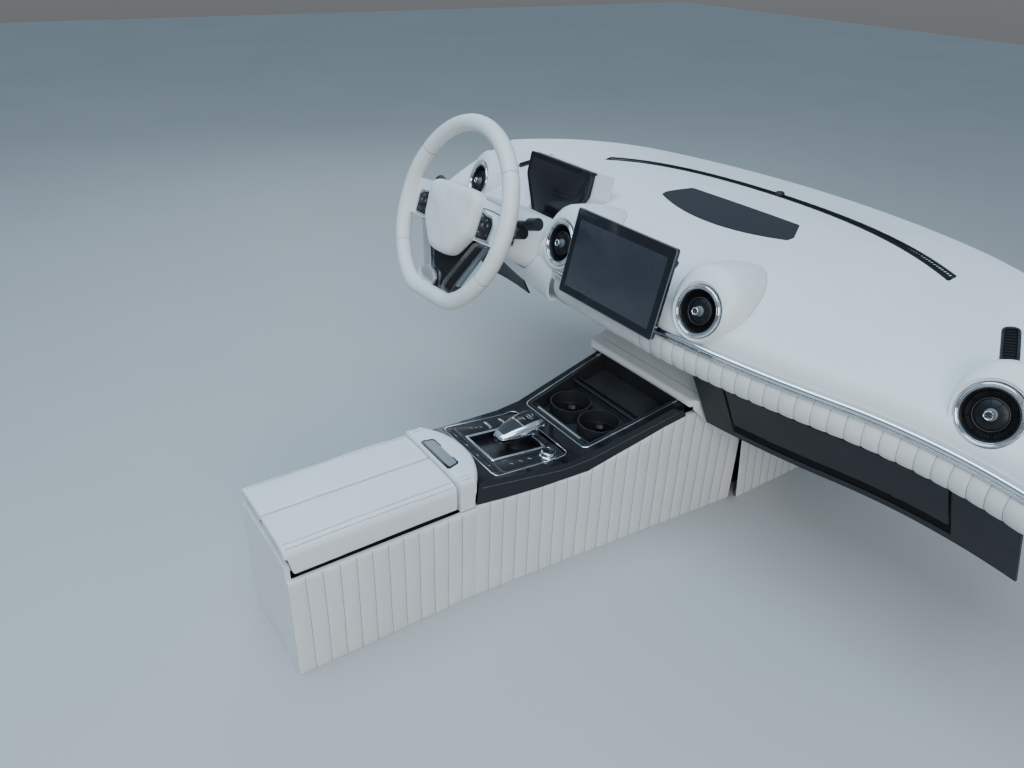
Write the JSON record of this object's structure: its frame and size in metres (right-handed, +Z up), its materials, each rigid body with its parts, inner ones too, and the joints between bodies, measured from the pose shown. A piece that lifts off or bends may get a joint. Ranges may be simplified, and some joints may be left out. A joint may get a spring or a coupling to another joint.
{
  "type": "car dashboard with centre console",
  "caption": "White leather car dashboard with steering wheel, screens, round air vents, chrome strip and a pleated centre console with a split-lid armrest.",
  "frame": {"origin": "centre of the foot plate's four bolts, on the floor tunnel, midway between the sides", "axes": "+X to the car's right, +Y forward, +Z up"},
  "size_m": [1.41, 1.187, 0.7084],
  "materials": {
    "leather_white": "fine-grained leather, satin",
    "leather_pleated": "pleated leather, satin",
    "chrome": "polished chrome",
    "satin_silver": "satin silver",
    "gloss_black": "piano black",
    "screen_glass": "dark display glass",
    "black_plastic": "grained black plastic",
    "steel": "black coated steel"
  },
  "bodies": {
    "cockpit": {"armrest_bin": "black_plastic", "armrest_latch": "gloss_black", "armrest_surround": "leather_white", "beam_end_plates": "steel", "beam_stays": "steel", "bridge_housing": "leather_white", "chrome_strip": "chrome", "climate_unit": "black_plastic", "cluster_hood": "leather_white", "cluster_screen": "gloss_black", "column_bracket": "steel", "column_shroud_lower": "leather_white", "column_shroud_upper": "leather_white", "column_tube": "steel", "console_buttons": "black_plastic", "console_front_covers": "leather_pleated", "console_rear_wall": "leather_white", "console_side_panels": "leather_pleated", "console_top_trim": "gloss_black", "console_tub": "black_plastic", "cross_beam": "steel", "dash_band": "leather_pleated", "dash_pad": "leather_white", "defroster_grille": "black_plastic", "glovebox_bin": "black_plastic", "glovebox_pins": "steel", "knee_panel": "leather_white", "lid_pins": "steel", "lower_panel": "black_plastic", "lower_panel_left": "black_plastic", "rotary_knob": "satin_silver", "selector_lever": "satin_silver", "selector_plate": "gloss_black", "side_demisters": "black_plastic", "speaker_grille": "black_plastic", "stalks": "black_plastic", "sun_sensor": "black_plastic", "touchscreen_frame": "gloss_black", "touchscreen_glass": "screen_glass", "touchscreen_stem": "black_plastic", "tray": "black_plastic", "tunnel_foot": "steel", "vent_cores": "gloss_black", "vent_knobs": "satin_silver", "vent_pods": "leather_white", "vent_rings": "chrome"},
    "steering_wheel": {"wheel_rim": "leather_white", "wheel_armature": "steel", "wheel_cover": "leather_white", "wheel_arms": "leather_white", "wheel_switches": "gloss_black", "wheel_switch_frames": "satin_silver", "wheel_legs": "satin_silver", "wheel_infill": "gloss_black"},
    "lid_left": {"lid_left": "leather_white"},
    "lid_right": {"lid_right": "leather_white"},
    "glovebox_lid": {"glovebox_lid": "black_plastic"}
  },
  "joints": [
    {"name": "steering", "type": "hinge", "parent": "cockpit", "child": "steering_wheel", "pos_m": [-0.331, -0.389, 0.531], "axis": [0, -0.933, 0.36], "range_deg": [-493, 487]},
    {"name": "armrest_right", "type": "hinge", "parent": "cockpit", "child": "lid_right", "pos_m": [0.084, -0.778, 0.204], "axis": [0, 1, 0], "range_deg": [0, 85]},
    {"name": "armrest_left", "type": "hinge", "parent": "cockpit", "child": "lid_left", "pos_m": [-0.084, -0.778, 0.204], "axis": [0, -1, 0], "range_deg": [0, 85]},
    {"name": "glovebox", "type": "hinge", "parent": "cockpit", "child": "glovebox_lid", "pos_m": [0.405, -0.10844, 0.276], "axis": [0.9785, 0.2061, 0], "range_deg": [0, 60]}
  ]
}
